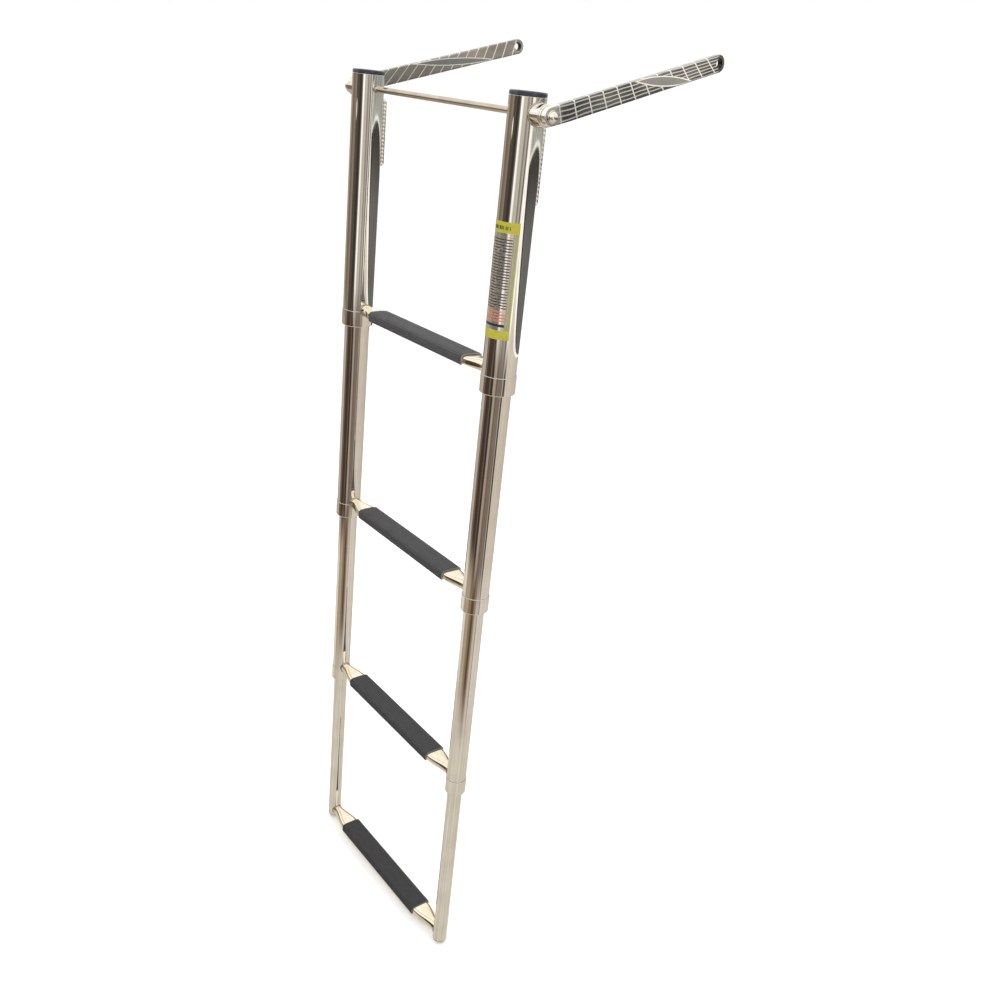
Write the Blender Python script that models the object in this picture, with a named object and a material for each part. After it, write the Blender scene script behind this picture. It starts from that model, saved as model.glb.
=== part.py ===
"""Four-step telescoping boat boarding ladder, drawn out to its full length.

Units are metres. +X runs from the left rail to the right rail, +Y points to the boat
(the way the two arms reach) and +Z is up. The origin lies on the cross rod that the arms
turn on, midway between the rails. The ladder is symmetric about X = 0 apart from its label.
"""
import math

import bmesh
import bpy
from mathutils import Matrix, Vector

# driving dimensions
RAIL_SPACING = 0.300                          # between the axes of the two rails
TUBE_RADII = (0.0190, 0.0160, 0.0125, 0.0095)  # stages 1 to 4, outside
WALL = 0.0012                                 # wall of every rail tube
GAP = 0.0003                                  # between pieces that touch
FIRST_LIP = -0.265                            # top edge of the collars on stage 1
STEP_PITCH = 0.2715                            # from one rung to the next
SEGMENTS = 24                                 # facets round a rail, and round all that nests in it
FITTING_SEGMENTS = 24                         # facets round a boss, washer or nut
HOLE_SEGMENTS = 16                            # facets round the rod and its holes

# top of the rails
TUBE_TOP = 0.0154
CAP_TOP = 0.0200
CAP_SPIGOT = 0.0085                           # below the rim
CAP_CHAMFER = 0.0012

# collars and the guides inside them, measured from the collar's top edge
COLLAR_LENGTH = 0.0205
COLLAR_PROUD = 0.0008
COLLAR_LIP_CHAMFER = 0.0003
COLLAR_FOOT_CHAMFER = 0.0010
SOCKET_DEPTH = 0.0080
SEAT_INSET = 0.0004                           # bush seat, inside the tube's outer radius
FLANGE = 0.0022                               # floor of the collar, under the bush
GUIDE_TOP = 0.0170
INNER_TUBE_TOP = 0.0175

# rungs: a tube pressed flat between two round ends, axis measured from the collar's top edge
RUNG_RISE = 0.0020
RUNG_HALF_WIDTH = 0.0130
RUNG_HALF_HEIGHT = 0.0052
RUNG_END_RADIUS = 0.0070
RUNG_WALL = 0.0012
RUNG_FLAT_HALF = 0.1000                       # half-length of the flattened stretch
RUNG_SEGMENTS = 20
RUNG_STATIONS = (1.0, 0.7, 0.35, 0.0)          # shares of the tapered end, from the rail inwards
FLAT_POWER = 4.0                              # superellipse power of the flattened section

# non-slip treads, channels that wrap the flat of each rung
TREAD_HALF_LENGTH = 0.0990
TREAD_HALF_WIDTH = 0.0150
TREAD_HALF_HEIGHT = 0.0072
TREAD_WRAP = math.radians(38.0)               # how far the lips reach under the rung
TREAD_STEPS = 18

# cross rod, bosses and arms, measured outwards from a rail's axis
ROD_RADIUS = 0.0035
ROD_HOLE_RADIUS = 0.0040
ROD_REACH = 0.0417
BOSS_RADIUS = 0.0110
BOSS_END = 0.0310
BOSS_CHAMFER = 0.0006
WASHER_RADIUS = 0.0105
WASHER = (0.0313, 0.0323)
ARM_INNER_FACE = 0.0326
ARM_THICKNESS = 0.0065
ARM_LENGTH = 0.2460                           # pivot hole to end hole
ARM_HALF_HEIGHT = 0.0090
ARM_END_HOLE_RADIUS = 0.0045
ARM_BEND_AT = 0.0200
EYE_POINTS = 16                               # round each end of an arm; a multiple of 8
ARM_TOE_IN = math.radians(3.0)
ARM_RISE = math.radians(15.5)
HEAD_BASE = 0.0394
HEAD_RADIUS = 0.0060
HEAD_HEIGHT = 0.0046
HEAD_SKIRT = 0.0012                           # straight side under the dome
HEAD_STEPS = 5
HEAD_BORE_END = 0.0420

# rear stand-offs, bars welded down the back of the first stage
STANDOFF_HALF_WIDTH = 0.0030
STANDOFF_Y = (0.0193, 0.0265)
STANDOFF_Z = (-0.0870, -0.0120)
STANDOFF_CHAMFER = 0.0025

# feet
FOOT_TUBE_END = -1.0870
FOOT_TIP = -1.0930
FOOT_SPIGOT = 0.0120
FOOT_STEPS = 4

# label on the front of the right rail; angles run from -Y towards +X
LABEL_Z = (-0.2230, -0.1030)
LABEL_ANGLES = (math.radians(-48.0), math.radians(70.0))
LABEL_THICKNESS = 0.0002
LABEL_STEPS = 10

SIDES = {"left": -1.0, "right": 1.0}


def clear_scene():
    for obj in list(bpy.data.objects):
        bpy.data.objects.remove(obj, do_unlink=True)


def material(name, colour, metallic, roughness):
    mat = bpy.data.materials.get(name)
    if mat is None:
        mat = bpy.data.materials.new(name)
        mat.use_nodes = True
        shader = mat.node_tree.nodes["Principled BSDF"]
        shader.inputs["Base Color"].default_value = (*colour, 1.0)
        shader.inputs["Metallic"].default_value = metallic
        shader.inputs["Roughness"].default_value = roughness
    return mat


def polished_steel():
    return material("polished_steel", (0.66, 0.63, 0.58), 1.0, 0.08)


def black_plastic():
    return material("black_plastic", (0.012, 0.016, 0.030), 0.0, 0.35)


def tread_rubber():
    return material("tread_rubber", (0.045, 0.048, 0.052), 0.0, 0.75)


def guide_plastic():
    return material("guide_plastic", (0.70, 0.70, 0.68), 0.0, 0.45)


def label_film():
    return material("label_film", (0.62, 0.56, 0.06), 0.0, 0.40)


def add_object(name, bm, mat, location=(0.0, 0.0, 0.0), parent=None):
    """Finish a bmesh as a named object with outward faces and smooth round surfaces."""
    bmesh.ops.recalc_face_normals(bm, faces=bm.faces)
    mesh = bpy.data.meshes.new(name)
    bm.to_mesh(mesh)
    bm.free()
    mesh.materials.append(mat)
    mesh.shade_smooth()
    mesh.set_sharp_from_angle(angle=math.radians(35.0))
    obj = bpy.data.objects.new(name, mesh)
    obj.location = location
    obj.parent = parent
    bpy.context.scene.collection.objects.link(obj)
    return obj


def spin_profile(points, segments, closed):
    """Turn (radius, height) points about Z. A closed profile makes a ring; an open one a solid."""
    bm = bmesh.new()
    verts = [bm.verts.new((r, 0.0, z)) for r, z in points]
    pairs = list(zip(verts, verts[1:]))
    if closed:
        pairs.append((verts[-1], verts[0]))
    edges = [bm.edges.new(pair) for pair in pairs]
    bmesh.ops.spin(bm, geom=verts + edges, cent=(0, 0, 0), axis=(0, 0, 1), angle=2.0 * math.pi,
                   steps=segments, use_merge=True)
    bmesh.ops.remove_doubles(bm, verts=bm.verts, dist=1.0e-6)
    return bm


def lay_along_x(bm, side):
    """Turn a piece made along +Z so that it points outwards along X from its rail."""
    bmesh.ops.rotate(bm, verts=bm.verts, cent=(0, 0, 0), matrix=Matrix.Rotation(side * math.pi / 2, 3, "Y"))


def bridge_rings(bm, first, second):
    """Join two rings of vertices that have the same count with a band of faces."""
    count = len(first)
    for i in range(count):
        j = (i + 1) % count
        bm.faces.new((first[i], first[j], second[j], second[i]))


def rail_x(side):
    return side * RAIL_SPACING / 2.0


def lip_height(stage):
    """Height of the top edge of the collars on a stage; for stage 4, where they would be."""
    return FIRST_LIP - (stage - 1) * STEP_PITCH


def make_rod_hole(tube):
    """Cross-drill a first-stage tube for the rod."""
    bm = bmesh.new()
    bmesh.ops.create_cone(bm, cap_ends=True, segments=HOLE_SEGMENTS, radius1=ROD_HOLE_RADIUS,
                          radius2=ROD_HOLE_RADIUS, depth=4.0 * TUBE_RADII[0],
                          matrix=Matrix.Rotation(math.pi / 2, 4, "Y"))
    drill = add_object(tube.name + "_drill", bm, polished_steel(), (tube.location.x, 0.0, 0.0))
    drill.hide_render = True
    drill.display_type = "WIRE"
    cut = tube.modifiers.new("rod_hole", "BOOLEAN")
    cut.operation = "DIFFERENCE"
    cut.solver = "EXACT"
    cut.object = drill


def make_rail(stage, side_name):
    """One rail tube, open at both ends."""
    side = SIDES[side_name]
    radius = TUBE_RADII[stage - 1]
    top = TUBE_TOP if stage == 1 else lip_height(stage - 1) + INNER_TUBE_TOP
    bottom = FOOT_TUBE_END if stage == 4 else lip_height(stage) - SOCKET_DEPTH
    inner = radius - WALL
    bm = spin_profile([(inner, bottom), (radius, bottom), (radius, top), (inner, top)], SEGMENTS, True)
    tube = add_object(f"rail_{stage}_{side_name}", bm, polished_steel(), (rail_x(side), 0.0, 0.0))
    if stage == 1:
        make_rod_hole(tube)


def make_cap(side_name):
    """Plastic plug in the top of a rail, with a rim flush with the tube."""
    radius = TUBE_RADII[0]
    spigot = radius - WALL - GAP
    rim_base = TUBE_TOP + GAP
    bm = spin_profile([(0.0, rim_base - CAP_SPIGOT), (spigot, rim_base - CAP_SPIGOT), (spigot, rim_base),
                       (radius, rim_base), (radius, CAP_TOP - CAP_CHAMFER),
                       (radius - CAP_CHAMFER, CAP_TOP), (0.0, CAP_TOP)], SEGMENTS, False)
    add_object(f"top_cap_{side_name}", bm, black_plastic(), (rail_x(SIDES[side_name]), 0.0, 0.0))


def make_collar(stage, side_name):
    """Steel collar on the foot of a stage: it sockets over the tube and holds the bush for the next one."""
    radius = TUBE_RADII[stage - 1]
    outer = radius + COLLAR_PROUD
    socket = radius + GAP
    seat = radius - SEAT_INSET
    throat = TUBE_RADII[stage] + 2.0 * GAP
    base = -COLLAR_LENGTH
    shelf = -SOCKET_DEPTH - GAP
    lip = COLLAR_LIP_CHAMFER
    foot = COLLAR_FOOT_CHAMFER
    bm = spin_profile([(socket, 0.0), (outer - lip, 0.0), (outer, -lip), (outer, base + foot),
                       (outer - foot, base), (throat, base), (throat, base + FLANGE), (seat, base + FLANGE),
                       (seat, shelf), (socket, shelf)], SEGMENTS, True)
    add_object(f"collar_{stage}_{side_name}", bm, polished_steel(),
               (rail_x(SIDES[side_name]), 0.0, lip_height(stage)))


def make_collar_bush(stage, side_name):
    """Plastic bush held in a collar, which the next tube slides through."""
    outer = TUBE_RADII[stage - 1] - SEAT_INSET - GAP
    inner = TUBE_RADII[stage] + GAP
    top = -SOCKET_DEPTH - GAP
    bottom = -COLLAR_LENGTH + FLANGE + GAP
    bm = spin_profile([(inner, bottom), (outer, bottom), (outer, top), (inner, top)], SEGMENTS, True)
    add_object(f"collar_bush_{stage}_{side_name}", bm, guide_plastic(),
               (rail_x(SIDES[side_name]), 0.0, lip_height(stage)))


def make_guide_sleeve(stage, side_name):
    """Plastic sleeve round the head of an inner tube; it lands on the collar bush and stops the tube."""
    outer = TUBE_RADII[stage - 2] - WALL - GAP
    inner = TUBE_RADII[stage - 1] + GAP
    bm = spin_profile([(inner, -SOCKET_DEPTH), (outer, -SOCKET_DEPTH), (outer, GUIDE_TOP), (inner, GUIDE_TOP)],
                      SEGMENTS, True)
    add_object(f"guide_sleeve_{stage}_{side_name}", bm, guide_plastic(),
               (rail_x(SIDES[side_name]), 0.0, lip_height(stage - 1)))


def superellipse(half_width, half_height, power, angle):
    c = math.cos(angle)
    s = math.sin(angle)
    y = half_width * math.copysign(abs(c) ** (2.0 / power), c)
    z = half_height * math.copysign(abs(s) ** (2.0 / power), s)
    return y, z


def rung_section(blend, inset):
    """Section of a rung: blend 0 is the flattened middle, 1 the round end."""
    width = RUNG_HALF_WIDTH + (RUNG_END_RADIUS - RUNG_HALF_WIDTH) * blend - inset
    height = RUNG_HALF_HEIGHT + (RUNG_END_RADIUS - RUNG_HALF_HEIGHT) * blend - inset
    power = FLAT_POWER + (2.0 - FLAT_POWER) * blend
    angles = (2.0 * math.pi * i / RUNG_SEGMENTS for i in range(RUNG_SEGMENTS))
    return [superellipse(width, height, power, angle) for angle in angles]


def rung_skin(bm, stage, inset):
    """One wall of a rung, from the left rail to the right, its ends cut to clear the collars."""
    proud = COLLAR_PROUD if stage < len(TUBE_RADII) else 0.0
    reach = TUBE_RADII[stage - 1] + proud + GAP
    end = RAIL_SPACING / 2.0 - reach
    half = []
    for share in RUNG_STATIONS:
        smooth = share * share * (3.0 - 2.0 * share)
        half.append((RUNG_FLAT_HALF + (end - RUNG_FLAT_HALF) * share, smooth))
    rows = [(-x, blend) for x, blend in half] + [(x, blend) for x, blend in reversed(half)]
    rings = []
    for index, (x, blend) in enumerate(rows):
        section = rung_section(blend, inset)
        at_end = index in (0, len(rows) - 1)
        ring = []
        for y, z in section:
            place = x
            if at_end:
                place = math.copysign(RAIL_SPACING / 2.0 - math.sqrt(reach * reach - y * y), x)
            ring.append(bm.verts.new((place, y, z)))
        rings.append(ring)
    for first, second in zip(rings, rings[1:]):
        bridge_rings(bm, first, second)
    return rings


def make_rung(stage):
    """Hollow rung whose round ends are cut to saddle on the rails."""
    bm = bmesh.new()
    outer = rung_skin(bm, stage, 0.0)
    inner = rung_skin(bm, stage, RUNG_WALL)
    bridge_rings(bm, outer[0], inner[0])
    bridge_rings(bm, outer[-1], inner[-1])
    add_object(f"rung_{stage}", bm, polished_steel(), (0.0, 0.0, lip_height(stage) + RUNG_RISE))


def make_tread(stage):
    """Rubber channel clipped over the flat of a rung, open underneath."""
    start = -TREAD_WRAP
    sweep = math.pi + 2.0 * TREAD_WRAP
    angles = [start + sweep * i / TREAD_STEPS for i in range(TREAD_STEPS + 1)]
    outside = [superellipse(TREAD_HALF_WIDTH, TREAD_HALF_HEIGHT, FLAT_POWER, a) for a in angles]
    inside = [superellipse(RUNG_HALF_WIDTH + GAP, RUNG_HALF_HEIGHT + GAP, FLAT_POWER, a) for a in angles]
    outline = outside + inside[::-1]
    bm = bmesh.new()
    ends = []
    for x in (-TREAD_HALF_LENGTH, TREAD_HALF_LENGTH):
        ends.append([bm.verts.new((x, y, z)) for y, z in outline])
    bridge_rings(bm, ends[0], ends[1])
    last = len(outline) - 1
    for end in ends:
        for i in range(TREAD_STEPS):
            bm.faces.new((end[i], end[i + 1], end[last - i - 1], end[last - i]))
    add_object(f"tread_{stage}", bm, tread_rubber(), (0.0, 0.0, lip_height(stage) + RUNG_RISE))


def make_foot(side_name):
    """Domed plug that closes the foot of the last stage."""
    radius = TUBE_RADII[3]
    spigot = radius - WALL - GAP
    rim = FOOT_TUBE_END - GAP
    drop = rim - FOOT_TIP
    dome = []
    for i in range(FOOT_STEPS + 1):
        angle = math.pi / 2 * i / FOOT_STEPS
        dome.append((radius * math.cos(angle), rim - drop * math.sin(angle)))
    dome[-1] = (0.0, FOOT_TIP)
    bm = spin_profile([(0.0, rim + FOOT_SPIGOT), (spigot, rim + FOOT_SPIGOT), (spigot, rim)] + dome, SEGMENTS,
                      False)
    add_object(f"foot_{side_name}", bm, polished_steel(), (rail_x(SIDES[side_name]), 0.0, 0.0))


def make_cross_rod():
    """Rod through both rails that ties them together and carries the arms."""
    bm = bmesh.new()
    bmesh.ops.create_cone(bm, cap_ends=True, segments=HOLE_SEGMENTS, radius1=ROD_RADIUS, radius2=ROD_RADIUS,
                          depth=RAIL_SPACING + 2.0 * ROD_REACH, matrix=Matrix.Rotation(math.pi / 2, 4, "Y"))
    add_object("cross_rod", bm, polished_steel())


def make_boss(side_name):
    """Short stub round the rod, saddled on the outside of a rail."""
    side = SIDES[side_name]
    saddle = TUBE_RADII[0] + GAP
    bm = bmesh.new()

    def ring(radius, offset):
        verts = []
        for i in range(FITTING_SEGMENTS):
            angle = 2.0 * math.pi * i / FITTING_SEGMENTS
            y = radius * math.cos(angle)
            x = math.sqrt(saddle * saddle - y * y) if offset is None else offset
            verts.append(bm.verts.new((side * x, y, radius * math.sin(angle))))
        return verts

    outer_foot = ring(BOSS_RADIUS, None)
    outer_shoulder = ring(BOSS_RADIUS, BOSS_END - BOSS_CHAMFER)
    outer_face = ring(BOSS_RADIUS - BOSS_CHAMFER, BOSS_END)
    bore_face = ring(ROD_HOLE_RADIUS, BOSS_END)
    bore_foot = ring(ROD_HOLE_RADIUS, None)
    middle_foot = ring((BOSS_RADIUS + ROD_HOLE_RADIUS) / 2.0, None)
    rings = [outer_foot, outer_shoulder, outer_face, bore_face, bore_foot, middle_foot, outer_foot]
    for first, second in zip(rings, rings[1:]):
        bridge_rings(bm, first, second)
    add_object(f"pivot_boss_{side_name}", bm, polished_steel(), (rail_x(side), 0.0, 0.0))


def make_washer(side_name):
    """Thin washer between a boss and its arm."""
    side = SIDES[side_name]
    near, far = WASHER
    bm = spin_profile([(ROD_HOLE_RADIUS, near), (WASHER_RADIUS, near), (WASHER_RADIUS, far),
                       (ROD_HOLE_RADIUS, far)], FITTING_SEGMENTS, True)
    lay_along_x(bm, side)
    add_object(f"pivot_washer_{side_name}", bm, polished_steel(), (rail_x(side), 0.0, 0.0))


def make_rod_head(side_name):
    """Domed nut on the end of the rod, with a blind bore for it."""
    side = SIDES[side_name]
    base = HEAD_BASE
    bore = ROD_RADIUS + GAP
    dome = []
    for i in range(HEAD_STEPS + 1):
        angle = math.pi / 2 * i / HEAD_STEPS
        height = base + HEAD_SKIRT + (HEAD_HEIGHT - HEAD_SKIRT) * math.sin(angle)
        dome.append((HEAD_RADIUS * math.cos(angle), height))
    dome[-1] = (0.0, base + HEAD_HEIGHT)
    bm = spin_profile([(0.0, HEAD_BORE_END), (bore, HEAD_BORE_END), (bore, base), (HEAD_RADIUS, base)] + dome,
                      FITTING_SEGMENTS, False)
    lay_along_x(bm, side)
    add_object(f"rod_nut_{side_name}", bm, polished_steel(), (rail_x(side), 0.0, 0.0))


def eye_rings(centre, hole_radius, outward):
    """The hole and the rounded tip of an arm's end, as matched points.

    Points run round from 0 degrees, which faces the middle of the bar. On that side the tip's ring
    is squared off, so that it meets the straight part of the bar.
    """
    hole = []
    frame = []
    for i in range(EYE_POINTS):
        angle = 2.0 * math.pi * i / EYE_POINTS
        c = math.cos(angle)
        s = math.sin(angle)
        hole.append((centre - outward * hole_radius * c, hole_radius * s))
        stretch = 1.0
        if c > 1.0e-9:
            stretch = 1.0 / max(abs(c), abs(s))
        reach = ARM_HALF_HEIGHT * stretch
        frame.append((centre - outward * reach * c, reach * s))
    return hole, frame


def make_arm(side_name):
    """Flat bar from the rod to the boat: an eye at each end and a slight bend inwards past the pivot."""
    side = SIDES[side_name]
    bm = bmesh.new()

    def place(points):
        return [bm.verts.new((0.0, s, h)) for s, h in points]

    near_hole, near_frame = (place(ring) for ring in eye_rings(0.0, ROD_HOLE_RADIUS, -1.0))
    far_hole, far_frame = (place(ring) for ring in eye_rings(ARM_LENGTH, ARM_END_HOLE_RADIUS, 1.0))
    bridge_rings(bm, near_frame, near_hole)
    bridge_rings(bm, far_frame, far_hole)
    facing = range(-EYE_POINTS // 8, EYE_POINTS // 8 + 1)
    near_edge = [near_frame[i] for i in facing]
    far_edge = [far_frame[i] for i in facing]
    bend_edge = place([(ARM_BEND_AT, vert.co.z) for vert in near_edge])
    for first, second in ((near_edge, bend_edge), (bend_edge, far_edge)):
        for i in range(len(first) - 1):
            bm.faces.new((first[i], first[i + 1], second[i + 1], second[i]))
    flat = list(bm.faces)
    grown = bmesh.ops.extrude_face_region(bm, geom=flat, use_keep_orig=True)
    moved = [item for item in grown["geom"] if isinstance(item, bmesh.types.BMVert)]
    bmesh.ops.translate(bm, verts=moved, vec=(side * ARM_THICKNESS, 0.0, 0.0))
    for vert in bm.verts:
        past_bend = max(0.0, vert.co.y - ARM_BEND_AT)
        vert.co.x += side * (ARM_INNER_FACE - past_bend * math.tan(ARM_TOE_IN))
    pivot = bpy.data.objects.new(f"arm_{side_name}_pivot", None)
    pivot.location = (rail_x(side), 0.0, 0.0)
    pivot.rotation_euler = (ARM_RISE, 0.0, 0.0)
    bpy.context.scene.collection.objects.link(pivot)
    add_object(f"arm_{side_name}", bm, polished_steel(), parent=pivot)


def make_standoff(side_name):
    """Bar welded down the back of a rail, which keeps the ladder off the hull."""
    front, back = STANDOFF_Y
    bottom, top = STANDOFF_Z
    chamfer = STANDOFF_CHAMFER
    outline = [(front, bottom), (back - chamfer, bottom), (back, bottom + chamfer), (back, top - chamfer),
               (back - chamfer, top), (front, top)]
    bm = bmesh.new()
    verts = [bm.verts.new((-STANDOFF_HALF_WIDTH, y, z)) for y, z in outline]
    face = bm.faces.new(verts)
    grown = bmesh.ops.extrude_face_region(bm, geom=[face], use_keep_orig=True)
    moved = [item for item in grown["geom"] if isinstance(item, bmesh.types.BMVert)]
    bmesh.ops.translate(bm, verts=moved, vec=(2.0 * STANDOFF_HALF_WIDTH, 0.0, 0.0))
    add_object(f"rear_standoff_{side_name}", bm, polished_steel(), (rail_x(SIDES[side_name]), 0.0, 0.0))


def make_label():
    """Plain film label wrapped round the front of the right rail."""
    inner = TUBE_RADII[0] + GAP
    outer = inner + LABEL_THICKNESS
    first, last = LABEL_ANGLES
    bottom, top = LABEL_Z
    bm = bmesh.new()
    rings = []
    for i in range(LABEL_STEPS + 1):
        angle = first + (last - first) * i / LABEL_STEPS
        direction = Vector((math.sin(angle), -math.cos(angle), 0.0))
        corners = ((inner, bottom), (outer, bottom), (outer, top), (inner, top))
        rings.append([bm.verts.new(direction * r + Vector((0.0, 0.0, z))) for r, z in corners])
    for ring, following in zip(rings, rings[1:]):
        bridge_rings(bm, ring, following)
    bm.faces.new(rings[0])
    bm.faces.new(rings[-1])
    add_object("label", bm, label_film(), (rail_x(1.0), 0.0, 0.0))


def build():
    clear_scene()
    make_cross_rod()
    make_label()
    for side_name in SIDES:
        make_cap(side_name)
        make_boss(side_name)
        make_washer(side_name)
        make_rod_head(side_name)
        make_arm(side_name)
        make_standoff(side_name)
        make_foot(side_name)
        for stage in (1, 2, 3, 4):
            make_rail(stage, side_name)
        for stage in (1, 2, 3):
            make_collar(stage, side_name)
            make_collar_bush(stage, side_name)
        for stage in (2, 3, 4):
            make_guide_sleeve(stage, side_name)
    for stage in (1, 2, 3, 4):
        make_rung(stage)
        make_tread(stage)


build()
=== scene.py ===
"""Looks of a four-step telescoping boat boarding ladder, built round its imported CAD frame."""

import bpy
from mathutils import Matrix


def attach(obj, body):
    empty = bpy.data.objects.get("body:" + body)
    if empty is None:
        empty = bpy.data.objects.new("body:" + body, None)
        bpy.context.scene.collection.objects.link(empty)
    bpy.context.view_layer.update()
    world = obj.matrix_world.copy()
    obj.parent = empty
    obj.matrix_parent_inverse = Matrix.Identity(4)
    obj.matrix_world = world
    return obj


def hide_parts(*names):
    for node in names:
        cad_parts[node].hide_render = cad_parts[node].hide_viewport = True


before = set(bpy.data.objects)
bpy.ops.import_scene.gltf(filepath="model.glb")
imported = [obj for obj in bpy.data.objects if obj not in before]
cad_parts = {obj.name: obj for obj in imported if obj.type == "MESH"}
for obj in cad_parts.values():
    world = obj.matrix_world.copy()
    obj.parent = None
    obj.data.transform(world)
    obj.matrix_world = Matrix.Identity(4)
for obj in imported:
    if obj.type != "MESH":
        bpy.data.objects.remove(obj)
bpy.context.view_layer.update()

import math

import bmesh
import bpy
from mathutils import Matrix, Vector, noise

# dimensions shared with the CAD, in metres
RAIL_X = 0.150
TUBE_RADII = (0.0190, 0.0160, 0.0125, 0.0095)
WALL = 0.0012
GAP = 0.0003
FIRST_LIP = -0.265
STEP_PITCH = 0.2715
TUBE_TOP = 0.0154
CAP_TOP = 0.0200
CAP_SPIGOT = 0.0085
COLLAR_LENGTH = 0.0205
COLLAR_PROUD = 0.0008
SOCKET_DEPTH = 0.0080
SEAT_INSET = 0.0004
FLANGE = 0.0022
GUIDE_TOP = 0.0170
INNER_TUBE_TOP = 0.0175
RUNG_RISE = 0.0020
RUNG_HALF_WIDTH = 0.0130
RUNG_HALF_HEIGHT = 0.0052
RUNG_END_RADIUS = 0.0070
RUNG_FLAT_HALF = 0.1000
FLAT_POWER = 4.0
TREAD_HALF_LENGTH = 0.0990
TREAD_HALF_WIDTH = 0.0150
TREAD_HALF_HEIGHT = 0.0072
TREAD_WRAP = math.radians(38.0)
ROD_RADIUS = 0.0035
ROD_HOLE_RADIUS = 0.0040
ROD_REACH = 0.0417
BOSS_RADIUS = 0.0110
BOSS_END = 0.0310
WASHER_RADIUS = 0.0105
WASHER = (0.0313, 0.0323)
ARM_INNER_FACE = 0.0326
ARM_THICKNESS = 0.0065
ARM_LENGTH = 0.2460
ARM_HALF_HEIGHT = 0.0090
ARM_END_HOLE_RADIUS = 0.0045
ARM_BEND_AT = 0.0200
ARM_TOE_IN = math.radians(3.0)
ARM_RISE = math.radians(15.5)
HEAD_BASE = 0.0394
HEAD_RADIUS = 0.0060
HEAD_HEIGHT = 0.0046
HEAD_BORE_END = 0.0420
STANDOFF_HALF_WIDTH = 0.0030
STANDOFF_Y = (0.0193, 0.0265)
STANDOFF_Z = (-0.0870, -0.0120)
WELD_OFFSET = 0.0034  # weld run on a stand-off, behind the tube
FOOT_TUBE_END = -1.0870
FOOT_TIP = -1.0930
FOOT_SPIGOT = 0.0120
LABEL_Z = (-0.2230, -0.1030)
LABEL_ANGLES = (math.radians(-48.0), math.radians(70.0))
LABEL_FILM = (0.00005, 0.00030)  # its faces, off the tube

ROUND = 96  # facets round a turned piece
ROD_ROUND = 48
STUDIO_ROUND = 128
RUNG_ROUND = 64
ARM_ROUND = 64
SHARP_ANGLE = 38.0  # degrees, edges shown sharp above this
BEAD_SIDES = 10  # facets round a weld bead
BEAD_STEPS = 160  # rings along a bead round a tube
RUNG_BEAD = (0.0012, 19)  # (radius, ripples round it)
ROD_BEAD = (0.0008, 13)
BOSS_BEAD = (0.0010, 29)
STANDOFF_BEAD = 0.0015
STANDOFF_BEAD_PITCH = 0.0045
STANDOFF_BEAD_STEPS = 220
TREAD_RIB_PITCH = 0.0031
TREAD_GROOVE = 0.00045
POINTS_PER_RIB = 10
CAMERA_AT = (0.95913, -0.66377, 0.03698)
CAMERA_YAW = math.radians(49.736)
CAMERA_PITCH = math.radians(23.250)
CAMERA_ROLL = math.radians(6.381)
CAMERA_SENSOR = 36.0
CAMERA_LENS = 35.928
LIGHTS = (("key", (1.6, -2.2, 2.4), 2.0, 40.0),  # (name, place, size, watts)
          ("fill", (-2.4, -1.2, 1.8), 2.2, 20.0),
          ("top", (0.0, 1.2, 3.0), 3.0, 30.0))
SIDES = {"left": -1.0, "right": 1.0}
STAGE_BODY = {1: "upper_stage", 2: "second_stage", 3: "third_stage", 4: "fourth_stage"}
FLOOR_Z = FOOT_TIP - 0.0005


# ---------------------------------------------------------------- materials

def srgb(r, g, b):
    """Linear colour from 0-255 screen values."""
    def linear(v):
        v /= 255.0
        return v / 12.92 if v <= 0.04045 else ((v + 0.055) / 1.055) ** 2.4
    return (linear(r), linear(g), linear(b), 1.0)


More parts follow.
